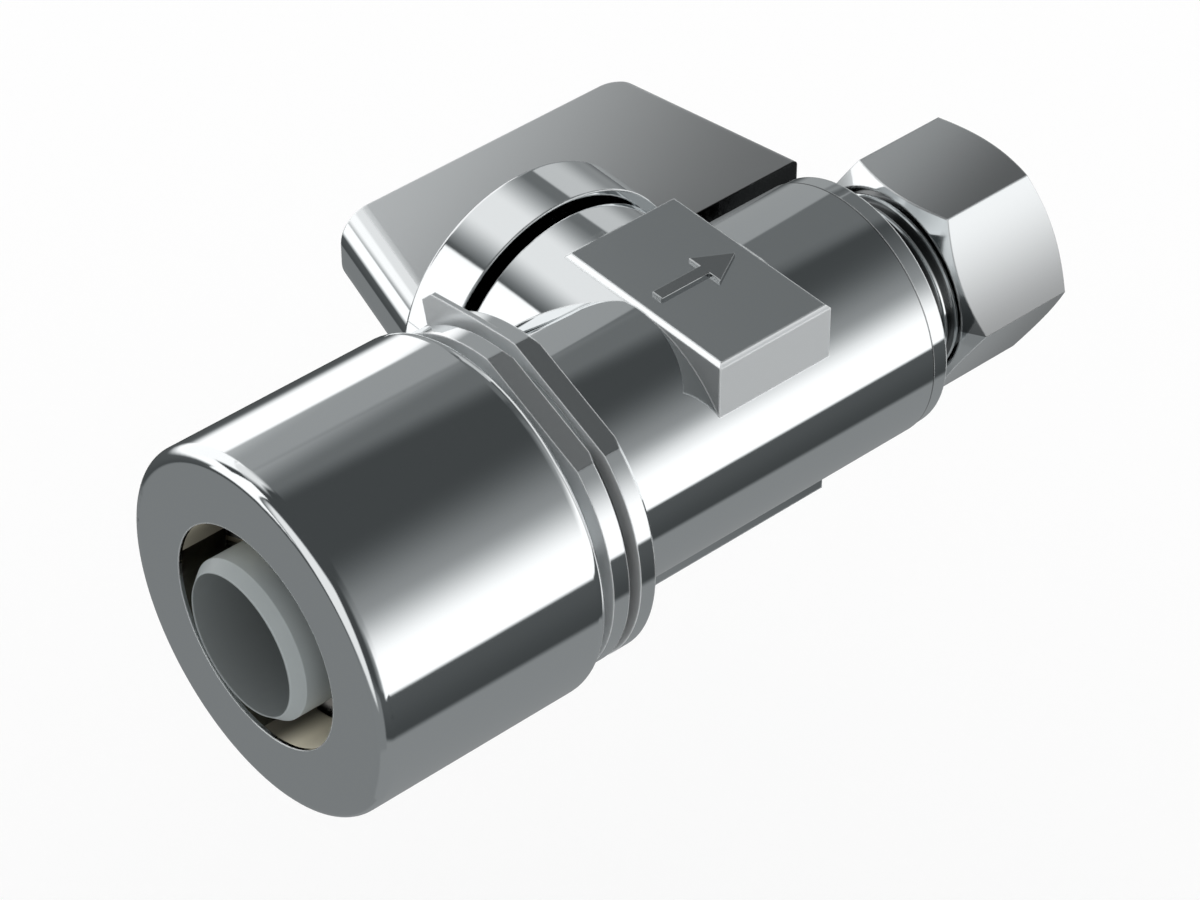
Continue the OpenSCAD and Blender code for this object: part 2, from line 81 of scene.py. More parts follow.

# A box in which a metal's finish differs or light and shade are painted on. Its painted shade is a
# direction, the places along it where the shade starts and ends, and the share of the colour left at the end.
# Satin is added roughness, haze is the share that loses its metallic shine and so shows plain white light as
# painted light, and colour is the zone's own, where it has one.
Zone = namedtuple("Zone", "low high shade satin haze colour", defaults=(None,))
# A round of another finish or of painted shade about the flow line, between two places along it
Ring = namedtuple("Ring", "radius start end colour satin")
# The shade setting of a zone that keeps its colour, with no painted shade
EVEN = ((0, 0, 1), 1, 2, 1)
# A place along the flow beyond the whole valve
FAR = 1.0


def length(name, text, default):
    """A length in metres."""
    return FloatProperty(name=name, description=text, default=default, unit="LENGTH", precision=6)


def turn(name, text, default):
    """An angle, kept in radians and given here in degrees."""
    return FloatProperty(name=name, description=text, default=radians(default), subtype="ANGLE")


def share(name, text, default):
    """A number from 0 to 1."""
    return FloatProperty(name=name, description=text, default=default, min=0, max=1, subtype="FACTOR")


def colour(name, text, default):
    """A linear colour."""
    return FloatVectorProperty(
        name=name, description=text, default=default, size=3, min=0, max=1, subtype="COLOR")


class PlateProperties(bpy.types.PropertyGroup):
    """Chrome plate, brass and steel, and the places where the plate's finish differs."""

    plate: colour("Plate", "Colour of the chrome plate", (0.80, 0.825, 0.835))
    plate_rough: share("Plate roughness", "Roughness of the polished plate", 0.045)
    swing: share("Swing", "How far the roughness of the plate swings", 0.5)
    clouds: FloatProperty(name="Clouds", description="Scale of the clouds in the polish", default=260.0)
    edge: length("Edge radius", "Radius by which sharp edges are broken", 0.16 * MM)
    waviness: length("Waviness", "Depth of the slight waves in the polish", 0.0012 * MM)
    brass: colour("Brass", "Colour of the bare brass", (0.62, 0.44, 0.20))
    brass_rough: share("Brass roughness", "Roughness of the turned brass", 0.28)
    steel: colour("Steel", "Colour of the stainless steel", (0.60, 0.59, 0.57))
    collar_bare: length("Bare collar bore", "Radius inside which the collar isn't plated", 8.9 * MM)
    bore: colour("Bore", "Colour of the nickel-washed bores", (0.74, 0.69, 0.55))
    bore_rough: share("Bore roughness", "Roughness that a bore has beyond the plate's", 0.16)
    # Painted shade: the share of the bore's colour left deep in the body and the adapter
    bore_shade: share("Dull bore", "Share of that colour left inside the body and the adapter", 0.4)
    bore_from: length("Bore from", "Place along the flow where the bores begin", 0.3 * MM)
    # Painted light in the collar's mouth: its colour and the heights of its two patches
    mouth: colour("Mouth", "Colour of the collar's bore where light falls in", (0.962, 0.897, 0.715))
    mouth_under: length("Mouth under", "Height of the top of the lower lit patch in the mouth", -3.5 * MM)
    mouth_over: length("Mouth over", "Height of the bottom of the upper lit patch in the mouth", 2 * MM)
    gap_left: share("Gap shade", "Share of the plate's colour left in the gaps between the plates", 0.12)
    gap_top: length("Gap top", "Height up to which the gap behind the adapter's plate is dark", 9 * MM)
    gap_inner: length("Gap inner", "Radius inside which the gap between the plates is in shade", 11.2 * MM)
    gap_front: length("Gap front", "Radius inside which the gap behind the collar is in shade", 11.2 * MM)
    pad_top: length("Pad top", "Height of the flat top pad", 10.2 * MM)
    pad_side: length("Pad side", "Distance from the flow line to the pad's near side", 8.2 * MM)
    pad_front: length("Pad front", "Place along the flow of the pad's front side", 33.7 * MM)
    pad_back: length("Pad back", "Place along the flow of the pad's back side", 43.9 * MM)
    pad_bevel: length("Pad bevel", "Width of the bevel round the pad's top", 0.3 * MM)
    pad_foot: length("Pad foot", "Height at which the pad's near side meets the barrel", 5.65 * MM)
    flange_back: length("Flange back", "Place along the flow of the back of the body's plate", 24.2 * MM)
    plate_back: length("Plate back", "Place along the flow of the back of the adapter's plate", 21.9 * MM)
    plate_face: length("Plate face", "Place along the flow of the front of the adapter's plate", 20.2 * MM)
    flat_from: length("Flat from", "How far across and up the near end of the plates' flat lies", 9.1 * MM)
    end_step: length("End step", "Place along the flow of the step near the barrel's end", 52.7 * MM)
    thread_from: length("Thread from", "Place along the flow where the bare thread starts", 54.03 * MM)
    thread_root: length("Thread root", "Radius of the thread's core", 6.6 * MM)
    blade_half: length("Blade half", "Half of the thickness of the handle's blade", 3.25 * MM)
    blade_inner: length("Blade inner", "Distance from the flow line to the blade's inner edge", 12.0 * MM)
    nut_edge: length("Nut edge", "Half of the width of one flat of the nut", 4.5 * MM)
    body_bare: length("Bare body bore", "Radius inside which the body isn't plated", 5.95 * MM)
    adapter_bare: length("Bare adapter bore", "Radius inside which the adapter isn't plated", 8.3 * MM)


class SoftProperties(bpy.types.PropertyGroup):
    """Plastic and rubber."""

    liner: colour("Liner", "Colour of the tube liner's plastic", (0.33, 0.363, 0.367))
    liner_bore: length("Liner bore", "Radius inside which the liner is in shade", 5.35 * MM)
    spacer: colour("Spacer", "Colour of the spacer ring's plastic", (0.60, 0.55, 0.42))
    seat: colour("Seats", "Colour of the seats and the thrust washer", (0.80, 0.80, 0.77))
    rubber: colour("Rubber", "Colour of the O-rings", (0.020, 0.021, 0.022))


class ThreadProperties(bpy.types.PropertyGroup):
    """Ridge of the male thread at the outlet."""

    start: length("Start", "Place along the flow where the first turn begins", 54.25 * MM)
    pitch: length("Pitch", "Distance from one turn to the next", 1.058 * MM)
    turns: IntProperty(name="Turns", description="Number of turns of the ridge", default=6, min=1)
    root: length("Root radius", "Radius of the core that the ridge stands on", 6.49 * MM)
    crest: length("Crest radius", "Radius at the ridge's crest", 7.13 * MM)
    crest_flat: length("Crest flat", "Width of the flat on the crest", 0.16 * MM)
    sunk: length("Sunk", "Depth by which the ridge reaches into the core", 0.12 * MM)
    flank: turn("Flank", "Angle between a flank of the ridge and the plane across the flow", 30)
    steps: IntProperty(name="Steps", description="Number of faces round one turn", default=72, min=12)
    bright: length("Bright crest", "Depth from the crest to which the thread is bright", 0.12 * MM)
    shade: share("Root shade", "Share of the plate's colour left at the thread's root", 0.25)


class ArrowProperties(bpy.types.PropertyGroup):
    """Plain flow arrow on the top pad."""

    middle: FloatVectorProperty(
        name="Middle", description="Place of the arrow's middle along and across the flow", size=2,
        subtype="XYZ_LENGTH", unit="LENGTH", default=(38.9 * MM, 0.1 * MM), precision=6)
    whole: length("Length", "Length of the arrow", 7.2 * MM)
    head: length("Head", "Distance from the head's middle to its corners", 1.9 * MM)
    shaft: length("Shaft", "Width of the shaft", 1.0 * MM)
    rise: length("Rise", "Height of the arrow above the pad", 0.25 * MM)
    sunk: length("Sunk", "Depth by which the arrow reaches into the pad", 0.1 * MM)
    soft: length("Soft edge", "Width of its edges' bevel", 0.06 * MM)
    shade: share("Shade", "Share of the plate's colour that the arrow has", 0.6)
    rough: share("Roughness", "Roughness of the arrow", 0.14)


class StageProperties(bpy.types.PropertyGroup):
    """Camera, floor and studio light."""

    camera: FloatVectorProperty(
        name="Camera", description="Place of the camera", subtype="TRANSLATION", unit="LENGTH",
        default=(-119.474 * MM, -173.198 * MM, 197.858 * MM), precision=6)
    azimuth: turn("Azimuth", "Direction of the camera round the object", -40.812)
    elevation: turn("Elevation", "Height of the camera above the horizon", 40.931)
    roll: turn("Roll", "Roll of the camera", 0.137)
    lens: FloatProperty(name="Lens", description="Focal length on a sensor 36 mm wide", default=130.784)
    drop: length("Floor drop", "Distance from the lowest point of the object to the floor", 80 * MM)
    spread: length("Floor size", "Width of the floor", 4.0)
    floor: colour("Floor", "Colour of the floor", (0.995, 0.995, 0.995))


# Node helpers


def set_up(tree, kind, **settings):
    """A new node of that kind, with its settings."""
    node = tree.nodes.new(kind)
    for name, value in settings.items():
        setattr(node, name, value)
    return node


def feed(tree, socket, value):
    """Links an output to the socket, or sets the socket to a plain value."""
    if isinstance(value, bpy.types.NodeSocket):
        tree.links.new(value, socket)
    else:
        socket.default_value = value


def calc(tree, operation, *values):
    """The output of a Math node."""
    node = set_up(tree, "ShaderNodeMath", operation=operation)
    for socket, value in zip(node.inputs, values):
        feed(tree, socket, value)
    return node.outputs[0]


def vector_calc(tree, operation, first, second):
    """The output of a Vector Math node."""
    node = set_up(tree, "ShaderNodeVectorMath", operation=operation)
    feed(tree, node.inputs[0], first)
    feed(tree, node.inputs[1], second)
    return node.outputs[0]


def ease(tree, value, low, high):
    """0 below low and 1 above high, with a smooth step between them."""
    node = set_up(tree, "ShaderNodeMapRange", interpolation_type="SMOOTHSTEP")
    for name, given in (("Value", value), ("From Min", low), ("From Max", high)):
        feed(tree, node.inputs[name], given)
    return node.outputs["Result"]


def blend_colours(tree, share_of_second, first, second):
    """The output of a Mix node on two colours."""
    node = set_up(tree, "ShaderNodeMix", data_type="RGBA")
    feed(tree, node.inputs["Factor"], share_of_second)
    # Several sockets share a name. The colours are inputs 6 and 7 and output 2.
    feed(tree, node.inputs[6], first)
    feed(tree, node.inputs[7], second)
    return node.outputs[2]


def solid(rgb):
    """A colour with full opacity."""
    return (*rgb, 1.0)


def new_group(name, inputs, outputs):
    """A shader node group, the outputs of its input node and the inputs of its output node."""
    group = bpy.data.node_groups.new(name, "ShaderNodeTree")
    for label, kind, default in inputs:
        socket = group.interface.new_socket(label, in_out="INPUT", socket_type=kind)
        if default is not None:
            socket.default_value = default
    for label, kind in outputs:
        group.interface.new_socket(label, in_out="OUTPUT", socket_type=kind)
    return group, group.nodes.new("NodeGroupInput").outputs, group.nodes.new("NodeGroupOutput").inputs


def place_group(tree, group, **values):
    """Puts the group in a tree, with its inputs set, and returns its outputs."""
    node = set_up(tree, "ShaderNodeGroup", node_tree=group)
    for name, value in values.items():
        feed(tree, node.inputs[name.replace("_", " ")], value)
    return node.outputs


def polish_group():
    """Slight unevenness of a polished or turned metal surface."""
    group, given, out = new_group(
        "Polish",
        [("Roughness", "NodeSocketFloat", 0.05), ("Spread", "NodeSocketFloat", 0.3),
         ("Scale", "NodeSocketFloat", 180.0)],
        [("Roughness", "NodeSocketFloat"), ("Height", "NodeSocketFloat"), ("Cloud", "NodeSocketFloat")])
    place = set_up(group, "ShaderNodeTexCoord").outputs["Object"]
    cloud = set_up(group, "ShaderNodeTexNoise")
    feed(group, cloud.inputs["Vector"], place)
    feed(group, cloud.inputs["Scale"], given["Scale"])
    cloud.inputs["Detail"].default_value = 4.0
    waves = set_up(group, "ShaderNodeTexNoise")
    feed(group, waves.inputs["Vector"], place)
    feed(group, waves.inputs["Scale"], calc(group, "MULTIPLY", given["Scale"], 1.7))
    waves.inputs["Detail"].default_value = 1.0
    swing = calc(group, "MULTIPLY", calc(group, "SUBTRACT", cloud.outputs[0], 0.5), given["Spread"])
    feed(group, out["Roughness"], calc(group, "MULTIPLY", given["Roughness"], calc(group, "ADD", swing, 1.0)))
    feed(group, out["Height"], waves.outputs[0])
    feed(group, out["Cloud"], cloud.outputs[0])
    return group


def bore_group():
    """1 within a radius of the flow line, between two places along it, and 0 elsewhere."""
    group, given, out = new_group(
        "Inside the bore",
        [("Radius", "NodeSocketFloat", 0.005),
         ("From", "NodeSocketFloat", -FAR),
         ("To", "NodeSocketFloat", FAR)],
        [("Mask", "NodeSocketFloat")])
    place = set_up(group, "ShaderNodeSeparateXYZ")
    feed(group, place.inputs[0], set_up(group, "ShaderNodeTexCoord").outputs["Object"])
    squares = [calc(group, "POWER", place.outputs[axis], 2.0) for axis in "YZ"]
    across = calc(group, "SQRT", calc(group, "ADD", *squares))
    inside = calc(group, "LESS_THAN", across, given["Radius"])
    behind = calc(group, "GREATER_THAN", place.outputs["X"], given["From"])
    before = calc(group, "LESS_THAN", place.outputs["X"], given["To"])
    feed(group, out["Mask"], calc(group, "MULTIPLY", inside, calc(group, "MULTIPLY", behind, before)))
    return group


def zone_group():
    """1 inside a box and 0 outside it, and that mask times a ramp along a direction."""
    group, given, out = new_group(
        "Zone",
        [("Low", "NodeSocketVector", None),
         ("High", "NodeSocketVector", None),
         ("Along", "NodeSocketVector", None),
         ("From", "NodeSocketFloat", 0.0),
         ("To", "NodeSocketFloat", 1.0)],
        [("Mask", "NodeSocketFloat"), ("Ramp", "NodeSocketFloat")])
    place = set_up(group, "ShaderNodeTexCoord").outputs["Object"]
    least = set_up(group, "ShaderNodeSeparateXYZ")
    feed(group, least.inputs[0], vector_calc(
        group, "MINIMUM", vector_calc(group, "SUBTRACT", place, given["Low"]),
        vector_calc(group, "SUBTRACT", given["High"], place)))
    least_across = calc(group, "MINIMUM", least.outputs["Y"], least.outputs["Z"])
    mask = calc(group, "GREATER_THAN", calc(group, "MINIMUM", least.outputs["X"], least_across), 0.0)
    run = set_up(group, "ShaderNodeVectorMath", operation="DOT_PRODUCT")
    feed(group, run.inputs[0], place)
    feed(group, run.inputs[1], given["Along"])
    feed(group, out["Mask"], mask)
    ramp = ease(group, run.outputs["Value"], given["From"], given["To"])
    feed(group, out["Ramp"], calc(group, "MULTIPLY", mask, ramp))
    return group


def softbox_group():
    """A lit panel of the studio: an area of sky with soft edges, in degrees, laid over what is behind it."""
    labels = ["Under", "Azimuth", "Elevation", "Level", "Centre", "Half width", "Side fade",
              "Bottom", "Bottom fade", "Top", "Top fade"]
    group, given, out = new_group(
        "Softbox", [(label, "NodeSocketFloat", 0.0) for label in labels], [("Level", "NodeSocketFloat")])
    wrap = set_up(group, "ShaderNodeMath", operation="WRAP")
    feed(group, wrap.inputs[0], calc(group, "SUBTRACT", given["Azimuth"], given["Centre"]))
    wrap.inputs[1].default_value = 180.0
    wrap.inputs[2].default_value = -180.0
    off = calc(group, "ABSOLUTE", wrap.outputs[0])
    side = ease(group, off, calc(group, "ADD", given["Half width"], given["Side fade"]), given["Half width"])
    low = ease(group, given["Elevation"], calc(group, "SUBTRACT", given["Bottom"], given["Bottom fade"]),
               given["Bottom"])
    high = ease(group, given["Elevation"], calc(group, "ADD", given["Top"], given["Top fade"]), given["Top"])
    mask = calc(group, "MULTIPLY", side, calc(group, "MULTIPLY", low, high))
    rise = calc(group, "MULTIPLY", mask, calc(group, "SUBTRACT", given["Level"], given["Under"]))
    feed(group, out["Level"], calc(group, "ADD", given["Under"], rise))
    return group


# Groups built so far, by name
GROUPS = {}


def group_named(name):
    """The shared group of that name, built once."""
    makers = {"Polish": polish_group, "Inside the bore": bore_group, "Zone": zone_group,
              "Softbox": softbox_group}
    if name not in GROUPS:
        GROUPS[name] = makers[name]()
    return GROUPS[name]


def new_material(name):
    """An empty node material, its tree and its Principled shader."""
    material = bpy.data.materials.new(name)
    material.use_nodes = True
    tree = material.node_tree
    shader = next(node for node in tree.nodes if node.type == "BSDF_PRINCIPLED")
    return material, tree, shader


def rounded_edges(tree, radius):
    """Normals that turn smoothly over every sharp edge."""
    node = set_up(tree, "ShaderNodeBevel", samples=6)
    node.inputs["Radius"].default_value = radius
    return node.outputs["Normal"]


def wavy(tree, height, depth, normal):
    """Normals with a bump of that depth in metres on top of the given ones."""
    node = set_up(tree, "ShaderNodeBump")
    node.inputs["Strength"].default_value = 1.0
    node.inputs["Distance"].default_value = depth
    feed(tree, node.inputs["Height"], height)
    feed(tree, node.inputs["Normal"], normal)
    return node.outputs["Normal"]


def highlighted_edges(tree, normal):
    """1 along broken edges, where the rounded normal leaves the face's own and a painted highlight goes, and
    0 elsewhere.
    """
    compare = set_up(tree, "ShaderNodeVectorMath", operation="DOT_PRODUCT")
    feed(tree, compare.inputs[0], normal)
    feed(tree, compare.inputs[1], set_up(tree, "ShaderNodeNewGeometry").outputs["Normal"])
    return ease(tree, compare.outputs["Value"], HIGHLIGHT_FROM, HIGHLIGHT_FULL)


def darker(rgb, left):
    """The colour with only that share of its light left."""
    return [left * part for part in rgb]


def clouded(tree, rgb, cloud, shown, left):
    """The colour, a little darker in the clouds of the polish."""
    return blend_colours(tree, calc(tree, "MULTIPLY", cloud, shown), solid(rgb), solid(darker(rgb, left)))


def dimmed(left):
    """The painted shade of a zone that keeps the same share of its colour all over."""
    return (0, 0, 1), -2, -1, left


def metal(name, rgb, rough, spread, scale, depth, edge, rings=(), zones=()):
    """A metal with an uneven polish and broken edges with a painted highlight, and the zones and rings where
    its finish differs or light and shade are painted.
    """
    material, tree, shader = new_material(name)
    metallic = 1.0
    polish = place_group(tree, group_named("Polish"), Roughness=rough, Spread=spread, Scale=scale)
    base = clouded(tree, rgb, polish["Cloud"], *METAL_CLOUDS)
    roughness = polish["Roughness"]
    for zone in zones:
        along, start, end, left = zone.shade
        place = place_group(
            tree, group_named("Zone"), Low=zone.low, High=zone.high, Along=along, From=start, To=end)
        tint = rgb
        if zone.colour is not None:
            tint = zone.colour
            base = blend_colours(tree, place["Mask"], base, solid(tint))
        base = blend_colours(tree, place["Ramp"], base, solid(darker(tint, left)))
        roughness = calc(tree, "ADD", roughness, calc(tree, "MULTIPLY", place["Mask"], zone.satin))
        metallic = calc(tree, "SUBTRACT", metallic, calc(tree, "MULTIPLY", place["Mask"], zone.haze))
    for ring in rings:
        mask = place_group(
            tree, group_named("Inside the bore"), Radius=ring.radius, From=ring.start, To=ring.end)["Mask"]
        base = blend_colours(tree, mask, base, solid(ring.colour))
        roughness = calc(tree, "ADD", roughness, calc(tree, "MULTIPLY", mask, ring.satin))
    rounded = rounded_edges(tree, edge)
    # Painted highlight along the edges, where the shine is taken off
    glint = calc(tree, "MULTIPLY", highlighted_edges(tree, rounded), EDGE_HIGHLIGHT)
    feed(tree, shader.inputs["Metallic"], calc(tree, "SUBTRACT", metallic, glint))
    feed(tree, shader.inputs["Base Color"], base)
    feed(tree, shader.inputs["Roughness"], roughness)
    feed(tree, shader.inputs["Normal"], wavy(tree, polish["Height"], depth, rounded))
    return material


def chrome(plate, name, rgb, rough, edge, rings=(), zones=()):
    """Chrome plate in that colour and roughness, with the clouds and waves of all the plate."""
    return metal(name, rgb, rough, plate.swing, plate.clouds, plate.waviness, edge, rings, zones)


def moulded(name, rgb, rough, grain, depth, edge, bore=None):
    """A moulded plastic or rubber with a fine grain.

    bore is the radius about the flow line inside which it is in shade, and the share of colour left there.
    """
    material, tree, shader = new_material(name)
    polish = place_group(tree, group_named("Polish"), Roughness=rough, Spread=0.5, Scale=grain)
    base = clouded(tree, rgb, polish["Cloud"], *MOULDED_CLOUDS)
    if bore:
        radius, left = bore
        inside = place_group(tree, group_named("Inside the bore"), Radius=radius)["Mask"]
        base = blend_colours(tree, inside, base, solid(darker(rgb, left)))
    rounded = rounded_edges(tree, edge)
    # Painted highlight along the edges, in a lighter colour
    lit_edge = calc(tree, "MULTIPLY", highlighted_edges(tree, rounded), MOULDED_HIGHLIGHT)
    lighter = solid([EDGE_LIFT * part for part in rgb])
    feed(tree, shader.inputs["Base Color"], blend_colours(tree, lit_edge, base, lighter))
    feed(tree, shader.inputs["Roughness"], polish["Roughness"])
    feed(tree, shader.inputs["Normal"], wavy(tree, polish["Height"], depth, rounded))
    return material


def node_reach(name):
    """Lowest and highest corner of a CAD node, with a little room all round."""
    low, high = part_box(name)
    room = Vector((SKIN, SKIN, SKIN))
    return low - room, high + room


def dress(names, material):
    """Gives the CAD nodes of those names a material."""
    for name in names:
        slots = NODES[name].data.materials
        slots.clear()
        slots.append(material)


def start_piece():
    """Deselects everything, so that the next operators act on the new piece alone."""
    bpy.ops.object.select_all(action="DESELECT")


def finish_piece(piece, name, material, body):
    """Names a piece, puts its place into its mesh, and lets it ride on a body."""
    bpy.ops.object.transform_apply(location=True, rotation=True, scale=True)
    piece.name = name
    piece.data.materials.clear()
    piece.data.materials.append(material)
    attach(piece, body)


class VALVE_OT_plated_pieces(bpy.types.Operator):
    """Chrome plate on the body, adapter, collar, ball, nut and handle"""

    bl_idname = "valve.plated_pieces"
    bl_label = "Plated Pieces"

    def execute(self, context):
        """Builds the plate for each node, with the zones where its finish differs."""
        plate = context.scene.valve_plate
        # The bores' own colour, darkened as painted shade
        shaded_bore = darker(plate.bore, plate.bore_shade)
        # The plate's colour darkened as painted shade in the gaps between the plates and behind the collar
        dark = darker(plate.plate, plate.gap_left)
        flange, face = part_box("valve_body")[0].x, plate.plate_face
        rings = {
            "valve_body": [
                Ring(plate.body_bare, plate.bore_from, FAR, shaded_bore, plate.bore_rough),
                Ring(plate.gap_inner, flange - SKIN, flange + SKIN, dark, satin=0.1),
            ],
            "inlet_adapter": [
                Ring(plate.adapter_bare, plate.bore_from, FAR, shaded_bore, plate.bore_rough),
                Ring(plate.gap_front, face - SKIN, face + SKIN, dark, satin=0.1),
            ],
        }
        zones = {
            "valve_body": self.body_zones(plate),
            "inlet_collar": self.collar_zones(plate),
            "inlet_adapter": self.adapter_zones(plate),
            "handle": self.handle_zones(plate),
            "compression_nut": self.nut_zones(plate),
            "ball": (),
        }
        for name, own in zones.items():
            dress([name], chrome(plate, "chrome_" + name, plate.plate, plate.plate_rough, plate.edge,
                                 rings.get(name, ()), own))
        return {"FINISHED"}

    def body_zones(self, plate):
        """Satin and painted light on the pads and the wrench plate, a painted dark line near the barrel's
        end, and painted shade on the thread's core.
        """
        low, high = node_reach("valve_body")
        front, back = plate.pad_front, plate.pad_back
        top, side, foot = plate.pad_top, plate.pad_side, plate.pad_foot
        bevel, half = plate.pad_bevel, plate.pad_bevel / 2
        face, step, root = low.x + 2 * SKIN, plate.end_step, plate.thread_root
        return [
            # Top of the pad
            Zone((front, -side, top - SKIN), (back, side, top + SKIN), EVEN, satin=0.08, haze=0.0),
            # Its near side, with the lower half of the bevel, lightened by haze as painted light
            Zone((front, -side - SKIN, foot), (back, half - side, top - half), EVEN, satin=0.35, haze=0.45),
            # Upper half of the bevel, with a painted highlight from its haze
            Zone((front, -side - SKIN, top - half), (back, bevel - side, top - SKIN), EVEN,
                 satin=0.1, haze=0.75),
            # Near side of the bottom pad, lightened by haze as painted light
            Zone((front, -side - SKIN, -top), (back, SKIN - side, -foot), EVEN, satin=0.2, haze=0.3),
            # Near half of the top pad's front side, in painted shade
            Zone((front - SKIN, SKIN - side, foot), (front + 2 * SKIN, 0, top - bevel), dimmed(0.75),
                 satin=0.5, haze=0.05),
            # Painted dark line at the step near the barrel's end, which keeps the shine that the painted edge
            # highlight would take off
            Zone((step - 3 * SKIN, low.y, low.z), (step, high.y, high.z), dimmed(0.35),
                 satin=0.0, haze=-EDGE_HIGHLIGHT),
            # Front face and flat of the wrench plate, lightened by haze as painted light
            Zone(low, (face, high.y, high.z), EVEN, satin=0.3, haze=0.45),
            Zone((face, -plate.flat_from, plate.flat_from), (plate.flange_back, 0, high.z), EVEN,
                 satin=0.05, haze=0.04),
            # Core of the thread, in painted shade
            Zone((plate.thread_from, -root, -root), (high.x, root, root), ((1, 0, 0), 0, MM, 0.3),
                 satin=0.1, haze=0.0),
        ]

    def adapter_zones(self, plate):
        """Satin and painted light on the front face and the flat of the adapter's plate, and painted shade in
        the gap behind it.
        """
        low, high = node_reach("inlet_adapter")
        face, back = plate.plate_face, plate.plate_back
        return [
            # Front face, lightened by haze as painted light
            Zone((face - SKIN, low.y, low.z), (face + SKIN, high.y, high.z), EVEN, satin=0.3, haze=0.45),
            # Flat, lightened a little by haze as painted light
            Zone((face + SKIN, -plate.flat_from, plate.flat_from), (back, 0, high.z), EVEN,
                 satin=0.05, haze=0.1),
            # Painted shade in the gap behind the plate, which keeps the shine that the painted edge highlight
            # would take off
            Zone((back - 4 * SKIN, low.y, low.z), (back + SKIN, 0, plate.gap_top), dimmed(plate.gap_left),
                 satin=0.0, haze=-EDGE_HIGHLIGHT),
        ]

    def collar_zones(self, plate):
        """The washed bore in painted shade, with painted light where light falls into the mouth."""
        reach, start, end = plate.collar_bare, plate.bore_from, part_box("inlet_collar")[1].x
        low, high = (start, -reach, -reach), (end, reach, reach)
        return [
            # Whole bore, in its own colour darkened as painted shade
            Zone(low, high, dimmed(0.3), satin=plate.bore_rough, haze=0.0, colour=plate.bore),
            # Lower patch of painted light, on the near side, with painted shade towards the middle
            Zone(low, (end, 0, plate.mouth_under), ((0, 1, 0), -3.5 * MM, -MM, 0.1),
                 satin=plate.bore_rough, haze=1.0, colour=plate.mouth),
            # Upper patch of painted light, on the far side, with painted shade towards its far edge
            Zone((start, 0, plate.mouth_over), high, ((0, 1, 0), 5.5 * MM, 8 * MM, 0.3),
                 satin=plate.bore_rough, haze=1.0, colour=plate.mouth),
        ]

    def handle_zones(self, plate):
        """Satin and painted light on the two broad faces, painted shade darker towards the outlet and the
        hub, and painted shade on the inner edge.
        """
        low, high = node_reach("handle")
        half, inner = plate.blade_half, plate.blade_inner
        # Painted shade on the broad faces, darker towards the outlet and the hub
        shade = ((0.5, -0.87, 0), -10 * MM, 19 * MM, 0.35)
        broad = [
            Zone((low.x, low.y, face - SKIN), (high.x, high.y, face + SKIN), shade, satin=0.25, haze=0.32)
            for face in (-half, half)
        ]
        # Painted shade, nearly black, along the blade's inner edge
        edge = Zone((low.x, inner - SKIN, -half), (high.x, inner + SKIN, half), dimmed(0.05),
                    satin=0.1, haze=0.0)
        return [*broad, edge]

    def nut_zones(self, plate):
        """Painted shade for each of the three flats of the nut that the camera sees, darker towards one side
        of each, and painted light from haze on the top flat.
        """
        low, high = node_reach("compression_nut")
        edge = plate.nut_edge
        return [
            # Near flat that faces up
            Zone((low.x, low.y, 0), (high.x, -edge, high.z), ((0, 0, -1), -8 * MM, MM, 0.33),
                 satin=0.05, haze=0.0),
            # Top flat
            Zone((low.x, -edge, high.z - 3 * SKIN), (high.x, edge, high.z),
                 ((0.3, -0.95, 0), 13.5 * MM, 24 * MM, 0.36), satin=0.1, haze=0.2),
            # Near flat that faces down
            Zone((low.x, low.y, low.z), (high.x, -edge, 0), ((1, 0, 0), low.x, high.x, 0.42),
                 satin=0.05, haze=0.0),
        ]


class VALVE_OT_brass_and_steel(bpy.types.Operator):
    """Turned brass inside the valve, and the steel of its screw and grab ring"""

    bl_idname = "valve.brass_and_steel"
    bl_label = "Brass and Steel"

    def execute(self, context):
        """Builds each metal and gives it to its nodes."""
        plate = context.scene.valve_plate
        waves = 2 * plate.waviness
        dress(["stem", "backup_washer", "ferrule"],
              metal("turned_brass", plate.brass, plate.brass_rough,
                    spread=0.6, scale=900.0, depth=waves, edge=plate.edge / 2))
        dress(["handle_screw"],
              metal("stainless_steel", plate.steel, rough=0.24,
                    spread=0.6, scale=700.0, depth=waves, edge=plate.edge / 3))
        # The grab ring's steel, darkened to 0.4 of its colour as painted shade inside the mouth
        dress(["grab_ring"],
              metal("spring_steel", darker(plate.steel, 0.4), rough=0.3,
                    spread=0.6, scale=700.0, depth=waves, edge=plate.edge / 3))
        return {"FINISHED"}


class VALVE_OT_plastic_and_rubber(bpy.types.Operator):
    """Plastic liner, spacer and seats, and rubber O-rings"""

    bl_idname = "valve.plastic_and_rubber"
    bl_label = "Plastic and Rubber"

    def execute(self, context):
        """Builds each moulded finish and gives it to its nodes."""
        soft = context.scene.valve_soft
        edge = context.scene.valve_plate.edge
        dress(["tube_liner"],
              moulded("grey_plastic", soft.liner, rough=0.42, grain=700.0, depth=0.004 * MM, edge=edge,
                      bore=(soft.liner_bore, 0.55)))
        dress(["spacer_ring"],
              moulded("pale_plastic", soft.spacer, rough=0.4, grain=700.0, depth=0.004 * MM, edge=edge))
        dress(["inlet_seat", "outlet_seat", "thrust_washer"],
              moulded("seat_plastic", soft.seat, rough=0.5, grain=900.0, depth=0.003 * MM, edge=edge / 2))
        dress(["adapter_o_ring", "socket_o_ring", "inner_stem_o_ring", "outer_stem_o_ring"],
              moulded("black_rubber", soft.rubber, rough=0.55, grain=1600.0, depth=0.004 * MM, edge=edge / 2))
        return {"FINISHED"}


